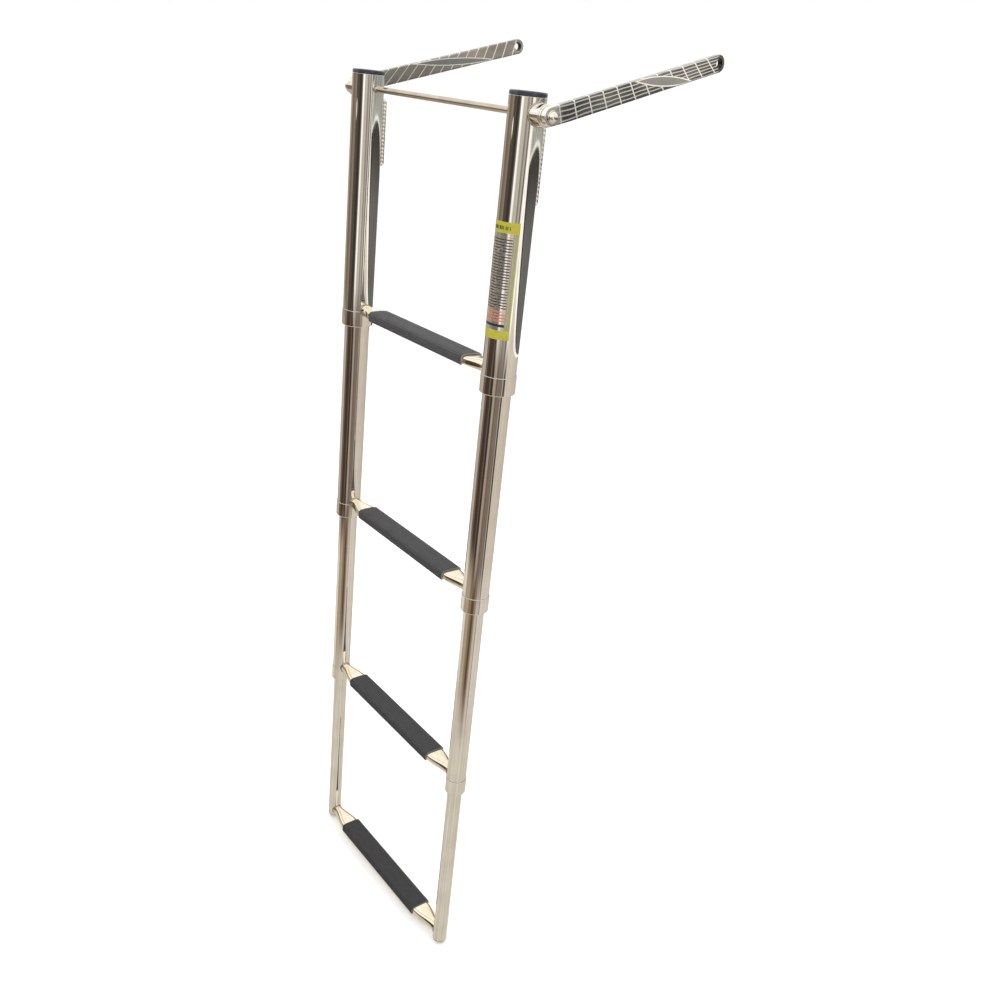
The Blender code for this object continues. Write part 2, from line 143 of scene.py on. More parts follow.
class Net:
    """A node tree with short calls to add and join nodes."""

    def __init__(self, tree):
        self.tree = tree
        tree.nodes.clear()

    def add(self, kind, **values):
        node = self.tree.nodes.new(kind)
        for key, value in values.items():
            setattr(node, key, value)
        return node

    def link(self, source, target):
        self.tree.links.new(source, target)

    def put(self, socket, value):
        if isinstance(value, bpy.types.NodeSocket):
            self.link(value, socket)
        else:
            socket.default_value = value

    def math(self, operation, a, b=None, c=None, clamp=False):
        node = self.add("ShaderNodeMath", operation=operation, use_clamp=clamp)
        for socket, value in zip(node.inputs, (a, b, c)):
            if value is not None:
                self.put(socket, value)
        return node.outputs[0]

    def mul(self, a, b, clamp=False):
        return self.math("MULTIPLY", a, b, clamp=clamp)

    def sub(self, a, b):
        return self.math("SUBTRACT", a, b)

    def span(self, value, low, high, to_low=0.0, to_high=1.0, smooth=True):
        node = self.add("ShaderNodeMapRange", interpolation_type="SMOOTHSTEP" if smooth else "LINEAR")
        for name, item in (("Value", value), ("From Min", low), ("From Max", high), ("To Min", to_low),
                           ("To Max", to_high)):
            self.put(node.inputs[name], item)
        return node.outputs[0]

    def mix(self, factor, a, b, blend="MIX"):
        node = self.add("ShaderNodeMix", data_type="RGBA", blend_type=blend)
        self.put(node.inputs[0], factor)
        self.put(node.inputs[6], a)
        self.put(node.inputs[7], b)
        return node.outputs[2]

    def noise(self, vector, scale, detail=3.0, rough=0.5):
        node = self.add("ShaderNodeTexNoise")
        self.link(vector, node.inputs["Vector"])
        node.inputs["Scale"].default_value = scale
        node.inputs["Detail"].default_value = detail
        node.inputs["Roughness"].default_value = rough
        return node.outputs["Fac"]

    def stretch(self, vector, x, y, z):
        node = self.add("ShaderNodeMapping")
        self.link(vector, node.inputs["Vector"])
        node.inputs["Scale"].default_value = (x, y, z)
        return node.outputs["Vector"]

    def ramp(self, value, stops):
        node = self.add("ShaderNodeValToRGB")
        ramp = node.color_ramp
        ramp.elements[0].position = stops[0][0]
        ramp.elements[0].color = stops[0][1]
        ramp.elements[1].position = stops[-1][0]
        ramp.elements[1].color = stops[-1][1]
        for place, colour in stops[1:-1]:
            ramp.elements.new(place).color = colour
        self.link(value, node.inputs[0])
        return node.outputs["Color"]

    def bump(self, height, strength, distance, normal=None):
        node = self.add("ShaderNodeBump")
        node.inputs["Strength"].default_value = strength
        node.inputs["Distance"].default_value = distance
        self.link(height, node.inputs["Height"])
        if normal is not None:
            self.link(normal, node.inputs["Normal"])
        return node.outputs["Normal"]


def start_material(name):
    mat = bpy.data.materials.new(name)
    mat.use_nodes = True
    net = Net(mat.node_tree)
    shader = net.add("ShaderNodeBsdfPrincipled")
    out = net.add("ShaderNodeOutputMaterial")
    net.link(shader.outputs[0], out.inputs["Surface"])
    place = net.add("ShaderNodeTexCoord").outputs["Object"]
    return mat, net, shader, place


def surface(net, shader, colour, roughness, normal):
    for name, value in (("Base Color", colour), ("Roughness", roughness), ("Normal", normal)):
        net.link(value, shader.inputs[name])


def steel_material(name, light, dark, rough_low, rough_high, ripple, along="z"):
    """Mirror-polished stainless: faint polishing lines along the piece, soft clouds and small waves."""
    mat, net, shader, place = start_material(name)
    scale = {"x": (0.03, 1.0, 1.0), "z": (1.0, 1.0, 0.03)}[along]
    lines = net.noise(net.stretch(place, *scale), 900.0, 4.0, 0.6)
    clouds = net.noise(place, 28.0, 3.0, 0.55)
    waves = net.noise(net.stretch(place, *(0.12 if v < 1.0 else 1.0 for v in scale)), 60.0, 2.0, 0.5)
    shader.inputs["Metallic"].default_value = 1.0
    tone = net.math("MULTIPLY_ADD", lines, 0.35, net.mul(clouds, 0.65))
    net.link(net.mix(net.span(tone, 0.30, 0.70), dark, light), shader.inputs["Base Color"])
    net.link(net.span(tone, 0.32, 0.68, rough_high, rough_low), shader.inputs["Roughness"])
    normal = net.bump(waves, ripple, 0.0006)
    net.link(net.bump(lines, 0.05, 0.00005, normal), shader.inputs["Normal"])
    return mat


def weld_material(name, tints):
    """Weld bead: duller steel in three tints, patchy and with fine grain."""
    mat, net, shader, place = start_material(name)
    patches = net.noise(place, 260.0, 4.0, 0.6)
    grain = net.noise(place, 1500.0, 3.0, 0.6)
    shader.inputs["Metallic"].default_value = 1.0
    surface(net, shader, net.ramp(patches, [(0.25 * (i + 1), srgb(*tint)) for i, tint in enumerate(tints)]),
            net.span(grain, 0.3, 0.7, 0.16, 0.34), net.bump(grain, 0.35, 0.0002))
    return mat


def plastic_material(name, base, worn, rough_low, rough_high, grain_scale, grain_depth):
    """Moulded plastic with a fine texture and slightly worn patches."""
    mat, net, shader, place = start_material(name)
    clouds = net.noise(place, 90.0, 4.0, 0.6)
    grain = net.noise(place, grain_scale, 3.0, 0.6)
    surface(net, shader, net.mix(net.span(clouds, 0.42, 0.72), base, worn),
            net.span(grain, 0.3, 0.7, rough_low, rough_high), net.bump(grain, 0.4, grain_depth))
    return mat


def tread_material(name, base, cut):
    """Ribbed rubber: matt, with paler dusty patches, and paler again where it was cut to length."""
    mat, net, shader, place = start_material(name)
    parts = net.add("ShaderNodeSeparateXYZ")
    net.link(net.add("ShaderNodeTexCoord").outputs["Normal"], parts.inputs[0])
    ends = net.span(net.math("ABSOLUTE", parts.outputs["X"]), 0.75, 0.95)
    clouds = net.noise(place, 130.0, 4.0, 0.6)
    grain = net.noise(net.stretch(place, 0.25, 1.0, 1.0), 2400.0, 3.0, 0.6)
    worn = tuple(min(1.0, v * 1.25 + 0.002) for v in base[:3]) + (1.0,)
    body = net.mix(net.span(clouds, 0.40, 0.75), base, worn)
    surface(net, shader, net.mix(ends, body, cut), net.span(grain, 0.3, 0.7, 0.48, 0.70),
            net.bump(grain, 0.35, 0.00012))
    return mat


def arm_material(name, pitch, slants, row_pitch, row_strength, lens, shades):
    """Flat polished bar whose broad faces carry a painted reflection: a fine grid of bright lines round a
    plain lens-shaped patch with bright rims. Towards the pivot it is painted pale as a highlight, and round
    its end hole it is painted dark as shade.

    slants is the lean of the cross lines at the pivot and its change per metre along the bar; lens is the
    patch's (distance from the pivot, lean, half-length, half-height); shades are the (dark, light) ground,
    painted lighter or darker on each arm as part of the painted reflection.
    """
    mat, net, shader, place = start_material(name)
    lens_at, lens_lean, lens_half, lens_height = lens
    parts = net.add("ShaderNodeSeparateXYZ")
    net.link(place, parts.inputs[0])
    along = parts.outputs["Y"]
    height = parts.outputs["Z"]
    facing = net.add("ShaderNodeSeparateXYZ")
    net.link(net.add("ShaderNodeTexCoord").outputs["Normal"], facing.inputs[0])
    broad = net.span(net.math("ABSOLUTE", facing.outputs["X"]), 0.80, 0.95)
    wobble = net.mul(net.sub(net.noise(place, 30.0, 2.0), 0.5), 0.0022)
    offset = net.sub(along, lens_at)
    lean = net.sub(height, net.mul(offset, lens_lean))

    def rule(value, pitch, width):
        """Bright where value is within width, a share of the pitch, of a line."""
        phase = net.math("FRACT", net.math("DIVIDE", value, pitch))
        off = net.math("ABSOLUTE", net.sub(phase, 0.5))
        return net.span(off, width, width * 0.45)

    # Painted reflection of a grid: bright rows and slanted cross lines on the broad faces.
    fan = net.mul(net.mul(offset, height), 1.6)
    rows = rule(net.math("ADD", net.math("ADD", height, wobble), fan), row_pitch, 0.20)
    slant = net.math("MULTIPLY_ADD", along, slants[1], slants[0])
    slanted = net.math("ADD", along, net.mul(height, slant))
    columns = rule(net.math("ADD", slanted, net.mul(wobble, 0.6)), pitch, 0.0011 / pitch)
    # Painted reflection: a lens-shaped patch with bright rims and no grid lines inside it.
    reach = net.sub(1.0, net.math("POWER", net.math("DIVIDE", offset, lens_half), 2.0))
    edge = net.math("DIVIDE", net.math("ABSOLUTE", lean), lens_height)
    depth = net.sub(reach, edge)
    inside = net.span(depth, 0.02, 0.08)
    painted_lens_rims = net.span(net.math("ABSOLUTE", net.sub(depth, 0.02)), 0.20, 0.08)
    rows = net.mul(net.mul(rows, row_strength), broad)
    grid = net.mul(net.math("MAXIMUM", rows, columns), net.sub(1.0, inside))
    painted_lens_rims = net.mul(painted_lens_rims, net.span(net.math("ABSOLUTE", offset), lens_half * 1.15, lens_half))
    painted_lens_rims = net.mul(painted_lens_rims, broad)
    fade = net.mul(net.span(along, 0.006, 0.010),
                   net.span(along, ARM_LENGTH + 0.001, ARM_LENGTH - 0.004))
    # Painted reflection: the grid lines and the lens rims together, faded out at both ends of the bar.
    painted_reflection_lines = net.mul(net.math("MAXIMUM", grid, painted_lens_rims), fade, clamp=True)
    clouds = net.noise(net.stretch(place, 1.0, 0.35, 1.0), 60.0, 3.0)
    # Ground of the broad faces; its differing shades on the two arms are a painted reflection.
    metal = net.mix(net.span(clouds, 0.3, 0.7), srgb(*shades[0]), srgb(*shades[1]))
    # Painted reflection: plain grey inside the lens.
    metal = net.mix(inside, metal, srgb(154, 155, 156))
    rims = net.mix(clouds, srgb(150, 149, 148), srgb(184, 183, 181))
    # Painted highlight: towards the pivot the narrow faces turn near white and the broad faces pale.
    head = net.span(along, 0.016, 0.004)
    rims = net.mix(head, rims, srgb(255, 252, 246))
    metal = net.mix(net.mul(head, 0.85), metal, srgb(226, 219, 212))
    metal = net.mix(broad, rims, metal)
    # Painted shade: the wall of the end hole and a thin ring round it are dark.
    bore = net.math("ADD", net.math("POWER", net.sub(along, ARM_LENGTH), 2.0), net.math("POWER", height, 2.0))
    bore = net.math("SQRT", bore)
    wall = net.span(bore, ARM_END_HOLE_RADIUS + 0.0011, ARM_END_HOLE_RADIUS + 0.0004)
    metal = net.mix(wall, metal, srgb(54, 51, 48))
    shader.inputs["Metallic"].default_value = 1.0
    # The painted reflection lines are near white.
    surface(net, shader, net.mix(painted_reflection_lines, metal, srgb(255, 253, 250)), net.span(clouds, 0.3, 0.7, 0.22, 0.12),
            net.bump(painted_reflection_lines, 0.25, 0.0001))
    return mat


def label_material():
    """Generic film label: yellow bands and edge strip, with thin bars on a clear middle and no lettering."""
    mat, net, shader, place = start_material("label_film_print")
    parts = net.add("ShaderNodeSeparateXYZ")
    net.link(place, parts.inputs[0])
    height = parts.outputs["Z"]
    angle = net.math("ARCTAN2", parts.outputs["X"], net.mul(parts.outputs["Y"], -1.0))
    low, high = LABEL_Z
    first, last = LABEL_ANGLES

    def between(value, a, b, soft):
        return net.mul(net.span(value, a - soft, a), net.span(value, b + soft, b))

    def words(scale, row_height, fill):
        """Short bars of uneven length in rows."""
        row = net.math("FLOOR", net.math("DIVIDE", height, row_height))
        spot = net.add("ShaderNodeCombineXYZ")
        net.link(net.mul(angle, scale), spot.inputs["X"])
        net.link(net.mul(row, 3.7), spot.inputs["Y"])
        cells = net.add("ShaderNodeTexVoronoi", feature="F1")
        net.link(spot.outputs[0], cells.inputs["Vector"])
        cells.inputs["Scale"].default_value = 1.0
        return net.span(cells.outputs["Distance"], fill + 0.05, fill)

    def rows(pitch, share):
        line = net.math("ABSOLUTE", net.sub(net.math("FRACT", net.math("DIVIDE", height, pitch)), 0.5))
        return net.span(line, share, share * 0.6)

    # Layout, in metres from the label's ends and radians from its side edges.
    top = net.span(height, high - 0.0112, high - 0.0108)
    bottom = net.span(height, low + 0.0098, low + 0.0094)
    bands = net.math("MAXIMUM", top, bottom)
    strip = net.span(angle, last - 0.24, last - 0.20)
    inner = between(angle, first + 0.10, last - 0.34, 0.02)
    text = net.mul(net.mul(rows(0.0029, 0.25), words(2.2, 0.0029, 0.80)), inner)
    text = net.mul(text, between(height, low + 0.0320, high - 0.0150, 0.0004))
    red = net.mul(net.mul(rows(0.0032, 0.25), words(4.2, 0.0032, 0.62)), inner)
    red = net.mul(red, between(height, low + 0.0180, low + 0.0300, 0.0004))
    bar = net.mul(between(height, low + 0.0135, low + 0.0160, 0.0003), inner)
    heading = net.mul(between(height, high - 0.0076, high - 0.0044, 0.0004),
                      words(15.0, 0.0500, 0.56))
    heading = net.mul(heading, inner)
    clear = net.mix(net.noise(place, 60.0), srgb(218, 212, 200), srgb(238, 232, 222))
    middle = net.mix(text, clear, srgb(38, 33, 30))
    middle = net.mix(red, middle, srgb(196, 92, 58))
    middle = net.mix(bar, middle, srgb(30, 30, 44))
    yellow = net.mix(net.noise(place, 200.0), srgb(150, 144, 34), srgb(178, 171, 52))
    tinted = net.mix(net.mul(strip, 0.75), middle, srgb(150, 152, 70))
    colour = net.mix(bands, tinted, yellow)
    net.link(net.mix(heading, colour, srgb(52, 50, 34)), shader.inputs["Base Color"])
    ink = net.math("MAXIMUM", net.math("MAXIMUM", text, red), net.math("MAXIMUM", bar, bands), clamp=True)
    covered = net.math("MAXIMUM", ink, net.mul(strip, 0.45))
    net.link(net.span(covered, 0.0, 1.0, 0.86, 0.0, smooth=False), shader.inputs["Metallic"])
    net.link(net.span(covered, 0.0, 1.0, 0.07, 0.36, smooth=False), shader.inputs["Roughness"])
    net.link(net.bump(net.noise(place, 500.0), 0.06, 0.0001), shader.inputs["Normal"])
    return mat


# ---------------------------------------------------------------- mesh helpers

def finish_piece(name, bm, mat, body, nodes=(), place=None, sharp=SHARP_ANGLE):
    """Make a bmesh into a piece that rides on a body and stands for CAD nodes."""
    bmesh.ops.remove_doubles(bm, verts=bm.verts, dist=1.0e-7)
    bmesh.ops.recalc_face_normals(bm, faces=bm.faces)
    mesh = bpy.data.meshes.new(name)
    bm.to_mesh(mesh)
    bm.free()
    mesh.materials.append(mat)
    mesh.shade_smooth()
    mesh.set_sharp_from_angle(angle=math.radians(sharp))
    obj = bpy.data.objects.new(name, mesh)
    bpy.context.scene.collection.objects.link(obj)
    if place is not None:
        obj.matrix_world = place
    even = obj.modifiers.new("even_normals", "WEIGHTED_NORMAL")
    even.weight = 100
    even.keep_sharp = True
    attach(obj, body)
    if nodes:
        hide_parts(*nodes)


def fillet(corners, steps):
    """Points of an outline whose corners (a, b, radius) are rounded. Radius 0 keeps a corner sharp."""
    points = []
    count = len(corners)
    for i, (a, b, radius) in enumerate(corners):
        here = Vector((a, b))
        if radius <= 0.0:
            points.append(here)
            continue
        before = (Vector(corners[i - 1][:2]) - here).normalized()
        after = (Vector(corners[(i + 1) % count][:2]) - here).normalized()
        half = before.angle(after) / 2.0
        reach = radius / math.tan(half)
        start = here + before * reach
        end = here + after * reach
        centre = here + (before + after).normalized() * (radius / math.sin(half))
        for k in range(steps + 1):
            ray = (start - centre).lerp(end - centre, k / steps)
            points.append(centre + ray.normalized() * radius)
    return [(p.x, p.y) for p in points]


def lathe(outline, closed, segments=ROUND):
    """Turn (radius, height) points about Z. Radius 0 makes a pole."""
    bm = bmesh.new()
    rings = []
    for radius, height in outline:
        if radius < 1.0e-7:
            rings.append([bm.verts.new((0.0, 0.0, height))])
            continue
        ring = []
        for i in range(segments):
            angle = 2.0 * math.pi * i / segments
            ring.append(bm.verts.new((radius * math.cos(angle), radius * math.sin(angle), height)))
        rings.append(ring)
    pairs = list(zip(rings, rings[1:]))
    if closed:
        pairs.append((rings[-1], rings[0]))
    for first, second in pairs:
        for i in range(segments):
            j = (i + 1) % segments
            corners = [first[i % len(first)], first[j % len(first)], second[j % len(second)],
                       second[i % len(second)]]
            unique = [v for k, v in enumerate(corners) if v not in corners[:k]]
            if len(unique) > 2:
                bm.faces.new(unique)
    return bm


def bridge(bm, first, second, closed=True):
    """Faces between two rows of points, running round if closed."""
    count = len(first)
    for i in range(count if closed else count - 1):
        j = (i + 1) % count
        bm.faces.new((first[i], first[j], second[j], second[i]))


def at(x=0.0, y=0.0, z=0.0):
    return Matrix.Translation((x, y, z))


def sideways(side, x):
    """Places a piece turned about +Z so that it points outwards along X."""
    return at(x) @ Matrix.Rotation(side * math.pi / 2.0, 4, "Y")


def sweep(bm, path, sizes, level=False):
    """A closed bead along a closed path; sizes gives its radius at each point.

    Its rings open away from the X axis, or straight back along Y if level.
    """
    count = len(path)
    rings = []
    for i, point in enumerate(path):
        along = (path[(i + 1) % count] - path[i - 1]).normalized()
        if level:
            out = Vector((0.0, 1.0, 0.0))
            other = along.cross(out).normalized()
        else:
            out = Vector((0.0, point.y, point.z))
            out = (out - along * out.dot(along)).normalized()
            other = along.cross(out)
        ring = []
        for k in range(BEAD_SIDES):
            angle = 2.0 * math.pi * k / BEAD_SIDES
            ring.append(bm.verts.new(point + (out * math.cos(angle) + other * math.sin(angle)) * sizes[i]))
        rings.append(ring)
    for i in range(count):
        bridge(bm, rings[i], rings[(i + 1) % count])


def saddle_bead(name, side, rail, around, size, ripples, body, height):
    """Weld bead where a round of radius around meets a rail of radius rail, on the given side of it."""
    bm = bmesh.new()
    path = []
    sizes = []
    for i in range(BEAD_STEPS):
        angle = 2.0 * math.pi * i / BEAD_STEPS
        y = around * math.cos(angle)
        z = around * math.sin(angle)
        path.append(Vector((side * math.sqrt(rail * rail - y * y), y, z)))
        beat = 0.5 + 0.5 * math.cos(ripples * angle)
        drift = noise.noise(Vector((math.cos(angle) * 2.0, math.sin(angle) * 2.0, rail * 90.0 + side)))
        sizes.append(size * (0.86 + 0.12 * beat + 0.14 * drift))
    sweep(bm, path, sizes)
    finish_piece(name, bm, MAT["weld"], body, place=height, sharp=180.0)


# ---------------------------------------------------------------- pieces

def rail_x(side_name):
    return SIDES[side_name] * RAIL_X


def lip_height(stage):
    return FIRST_LIP - (stage - 1) * STEP_PITCH


def superellipse(half_width, half_height, power, angle):
    c = math.cos(angle)
    s = math.sin(angle)
    return (half_width * math.copysign(abs(c) ** (2.0 / power), c),
            half_height * math.copysign(abs(s) ** (2.0 / power), s))


def box_outline(across, heights, edge):
    """Corners of a rectangle for fillet, counter-clockwise from its lower inner one."""
    (inner, outer), (low, high) = across, heights
    return [(inner, low, edge), (outer, low, edge), (outer, high, edge), (inner, high, edge)]


def make_rail(stage, side_name):
    radius = TUBE_RADII[stage - 1]
    inner = radius - WALL
    top = TUBE_TOP if stage == 1 else lip_height(stage - 1) + INNER_TUBE_TOP
    bottom = FOOT_TUBE_END if stage == 4 else lip_height(stage) - SOCKET_DEPTH
    edge = 0.0003
    outline = fillet(box_outline((inner, radius), (bottom, top), edge), 3)
    name = f"rail_{stage}_{side_name}"
    finish_piece("tube_" + name, lathe(outline, True), MAT[f"steel_{stage}"], STAGE_BODY[stage],
                 (name,), at(rail_x(side_name)))


def make_cap(side_name):
    radius = TUBE_RADII[0]
    spigot = radius - WALL - GAP
    base = TUBE_TOP + GAP
    dish = 0.0003
    outline = fillet([(0.0, base - CAP_SPIGOT, 0.0), (spigot, base - CAP_SPIGOT, 0.0005), (spigot, base, 0.0),
                      (radius, base, 0.0003), (radius, CAP_TOP, 0.0016), (radius * 0.72, CAP_TOP, 0.0),
                      (radius * 0.70, CAP_TOP - dish, 0.0), (0.0, CAP_TOP - dish, 0.0)], 6)
    finish_piece(f"cap_{side_name}", lathe(outline, False), MAT["cap"], "upper_stage",
                 (f"top_cap_{side_name}",), at(rail_x(side_name)))


def make_collar(stage, side_name):
    radius = TUBE_RADII[stage - 1]
    outer = radius + COLLAR_PROUD
    socket = radius + GAP
    seat = radius - SEAT_INSET
    throat = TUBE_RADII[stage] + 2.0 * GAP
    base = -COLLAR_LENGTH
    shelf = -SOCKET_DEPTH - GAP
    outline = fillet([(socket, 0.0, 0.0), (outer, 0.0, 0.0003), (outer, base, 0.0012), (throat, base, 0.0004),
                      (throat, base + FLANGE, 0.0), (seat, base + FLANGE, 0.0), (seat, shelf, 0.0),
                      (socket, shelf, 0.0)], 6)
    name = f"collar_{stage}_{side_name}"
    finish_piece("band_" + name, lathe(outline, True), MAT["collar"], STAGE_BODY[stage],
                 (name,), at(rail_x(side_name), 0.0, lip_height(stage)))


def make_ring(name, node, radii, heights, mat, stage, side_name, lip_stage):
    outline = fillet(box_outline(radii, heights, 0.0002), 2)
    finish_piece(name, lathe(outline, True), mat, STAGE_BODY[stage], (node,),
                 at(rail_x(side_name), 0.0, lip_height(lip_stage)))


def make_guides(stage, side_name):
    """The bush in a stage's collar and the sleeve round the head of the next tube."""
    node = f"collar_bush_{stage}_{side_name}"
    make_ring(f"bush_{stage}_{side_name}", node,
              (TUBE_RADII[stage] + GAP, TUBE_RADII[stage - 1] - SEAT_INSET - GAP),
              (-COLLAR_LENGTH + FLANGE + GAP, -SOCKET_DEPTH - GAP), MAT["guide"], stage, side_name, stage)
    node = f"guide_sleeve_{stage + 1}_{side_name}"
    make_ring(f"sleeve_{stage + 1}_{side_name}", node,
              (TUBE_RADII[stage] + GAP, TUBE_RADII[stage - 1] - WALL - GAP), (-SOCKET_DEPTH, GUIDE_TOP),
              MAT["guide"], stage + 1, side_name, stage)


def rung_reach(stage):
    """Radius round a rail's axis at which a rung's end is cut, clear of the collar."""
    proud = COLLAR_PROUD if stage < len(TUBE_RADII) else 0.0
    return TUBE_RADII[stage - 1] + proud + GAP


def rung_rows(stage):
    """(x, blend) stations of a rung; blend is 0 on the flat and 1 at the rails."""
    end = RAIL_X - rung_reach(stage)
    rows = []
    steps = 14
    for i in range(steps + 1):
        share = i / steps
        smooth = share * share * (3.0 - 2.0 * share)
        rows.append((RUNG_FLAT_HALF + (end - RUNG_FLAT_HALF) * share, smooth))
    return [(-x, b) for x, b in reversed(rows)] + [(x, b) for x, b in rows]


def rung_ring(bm, stage, x, blend, inset, at_end):
    """One section of a rung; at an end it is cut to saddle on the rail."""
    reach = rung_reach(stage)
    width = RUNG_HALF_WIDTH + (RUNG_END_RADIUS - RUNG_HALF_WIDTH) * blend - inset
    height = RUNG_HALF_HEIGHT + (RUNG_END_RADIUS - RUNG_HALF_HEIGHT) * blend - inset
    power = FLAT_POWER + (2.0 - FLAT_POWER) * blend
    ring = []
    for i in range(RUNG_ROUND):
        y, z = superellipse(width, height, power, 2.0 * math.pi * i / RUNG_ROUND)
        place = x
        if at_end:
            place = math.copysign(RAIL_X - math.sqrt(reach * reach - y * y), x)
        ring.append(bm.verts.new((place, y, z)))
    return ring


def make_rung(stage):
    bm = bmesh.new()
    rows = rung_rows(stage)
    skins = []
    for inset in (0.0, WALL):
        rings = []
        for index, (x, blend) in enumerate(rows):
            rings.append(rung_ring(bm, stage, x, blend, inset, index in (0, len(rows) - 1)))
        for first, second in zip(rings, rings[1:]):
            bridge(bm, first, second)
        skins.append(rings)
    bridge(bm, skins[0][0], skins[1][0])
    bridge(bm, skins[0][-1], skins[1][-1])
    height = lip_height(stage) + RUNG_RISE
    body = STAGE_BODY[stage]
    finish_piece(f"step_tube_{stage}", bm, MAT["rung"], body, (f"rung_{stage}",),
                 at(z=height))
    for side_name, side in SIDES.items():
        saddle_bead(f"weld_rung_{stage}_{side_name}", -side, rung_reach(stage) - GAP, RUNG_END_RADIUS,
                    *RUNG_BEAD, body, at(rail_x(side_name), 0.0, height))


def tread_outline():
    """Outer and inner points of a tread's section, with fine ribs on the outside."""
    fine = 2400
    sweep_angle = math.pi + 2.0 * TREAD_WRAP
    outer = []
    inner = []
    for i in range(fine + 1):
        angle = -TREAD_WRAP + sweep_angle * i / fine
        outer.append(Vector(superellipse(TREAD_HALF_WIDTH, TREAD_HALF_HEIGHT, FLAT_POWER, angle)))
        inner.append(Vector(superellipse(RUNG_HALF_WIDTH + GAP, RUNG_HALF_HEIGHT + GAP, FLAT_POWER, angle)))
    lengths = [0.0]
    for first, second in zip(outer, outer[1:]):
        lengths.append(lengths[-1] + (second - first).length)
    total = lengths[-1]
    ribs = round(total / TREAD_RIB_PITCH)
    count = ribs * POINTS_PER_RIB
    fade = 8.0  # points over which the ribs start at each edge
    ribbed = []
    plain = []
    index = 0
    for k in range(count + 1):
        goal = total * k / count
        while index < fine and lengths[index + 1] < goal:
            index += 1
        index = min(index, fine - 1)
        tangent = (outer[index + 1] - outer[max(0, index - 1)]).normalized()
        inward = Vector((-tangent.y, tangent.x))
        groove = (0.5 + 0.5 * math.cos(2.0 * math.pi * ribs * k / count)) ** 2.2
        edge = min(1.0, min(k, count - k) / fade)
        ribbed.append(outer[index] + inward * (TREAD_GROOVE * groove * edge))
        plain.append(inner[index])
    return ribbed, plain


def make_tread(stage):
    ribbed, plain = tread_outline()
    outline = ribbed + plain[::-1]
    bm = bmesh.new()
    ends = []
    pinch = 0.985  # outer size of the cut ends
    for share in (-1.0, -0.996, 0.996, 1.0):
        shrink = pinch if abs(share) == 1.0 else 1.0
        x = share * TREAD_HALF_LENGTH
        ends.append([bm.verts.new((x, p.x * shrink, p.y * shrink if i < len(ribbed) else p.y))
                     for i, p in enumerate(outline)])
    for first, second in zip(ends, ends[1:]):
        bridge(bm, first, second)
    last = len(outline) - 1
    for end in (ends[0], ends[-1]):
        for i in range(len(ribbed) - 1):
            bm.faces.new((end[i], end[i + 1], end[last - i - 1], end[last - i]))
    finish_piece(f"ribbed_tread_{stage}", bm, MAT[f"tread_{stage}"], STAGE_BODY[stage],
                 (f"tread_{stage}",), at(z=lip_height(stage) + RUNG_RISE), sharp=50.0)


def make_foot(side_name):
    radius = TUBE_RADII[3]
    spigot = radius - WALL - GAP
    rim = FOOT_TUBE_END - GAP
    drop = rim - FOOT_TIP
    outline = [(0.0, rim + FOOT_SPIGOT), (spigot, rim + FOOT_SPIGOT), (spigot, rim), (radius, rim)]
    steps = 14
    for i in range(1, steps):
        angle = math.pi / 2.0 * i / steps
        outline.append((radius * math.cos(angle), rim - drop * math.sin(angle)))
    outline.append((0.0, FOOT_TIP))
    finish_piece(f"end_plug_{side_name}", lathe(outline, False), MAT["foot"], "fourth_stage",
                 (f"foot_{side_name}",), at(rail_x(side_name)))


def make_cross_rod():
    half = RAIL_X + ROD_REACH
    outline = fillet([(0.0, -half, 0.0), (ROD_RADIUS, -half, 0.0004), (ROD_RADIUS, half, 0.0004),
                      (0.0, half, 0.0)], 3)
    finish_piece("pivot_rod", lathe(outline, False, ROD_ROUND), MAT["rod"], "upper_stage",
                 ("cross_rod",), sideways(1.0, 0.0))
    for side_name, side in SIDES.items():
        saddle_bead(f"weld_rod_{side_name}", -side, TUBE_RADII[0] + 0.0002, ROD_RADIUS + 0.0003, *ROD_BEAD,
                    "upper_stage", at(rail_x(side_name)))


def make_boss(side_name):
    side = SIDES[side_name]
    saddle = TUBE_RADII[0] + GAP
    bm = bmesh.new()

    def ring(radius, offset):
        verts = []
        for i in range(ROUND):
            angle = 2.0 * math.pi * i / ROUND
            y = radius * math.cos(angle)
            x = math.sqrt(saddle * saddle - y * y) if offset is None else offset
            verts.append(bm.verts.new((side * x, y, radius * math.sin(angle))))
        return verts

    edge = 0.0008
    steps = 5
    rings = [ring(BOSS_RADIUS, None)]
    for k in range(steps + 1):
        angle = math.pi / 2.0 * k / steps
        rings.append(ring(BOSS_RADIUS - edge + edge * math.cos(angle),
                          BOSS_END - edge + edge * math.sin(angle)))
    rings += [ring(ROD_HOLE_RADIUS, BOSS_END), ring(ROD_HOLE_RADIUS, None)]
    rings += [ring(ROD_HOLE_RADIUS + (BOSS_RADIUS - ROD_HOLE_RADIUS) * k / 4.0, None) for k in (1, 2, 3)]
    rings.append(rings[0])
    for first, second in zip(rings, rings[1:]):
        bridge(bm, first, second)
    finish_piece(f"boss_{side_name}", bm, MAT["fitting"], "upper_stage",
                 (f"pivot_boss_{side_name}",), at(rail_x(side_name)))
    saddle_bead(f"weld_boss_{side_name}", side, saddle + 0.0003, BOSS_RADIUS, *BOSS_BEAD, "upper_stage",
                at(rail_x(side_name)))


def make_washer(side_name):
    outline = fillet(box_outline((ROD_HOLE_RADIUS, WASHER_RADIUS), WASHER, 0.0002), 3)
    finish_piece(f"washer_{side_name}", lathe(outline, True), MAT["fitting"], "upper_stage",
                 (f"pivot_washer_{side_name}",), sideways(SIDES[side_name], rail_x(side_name)))


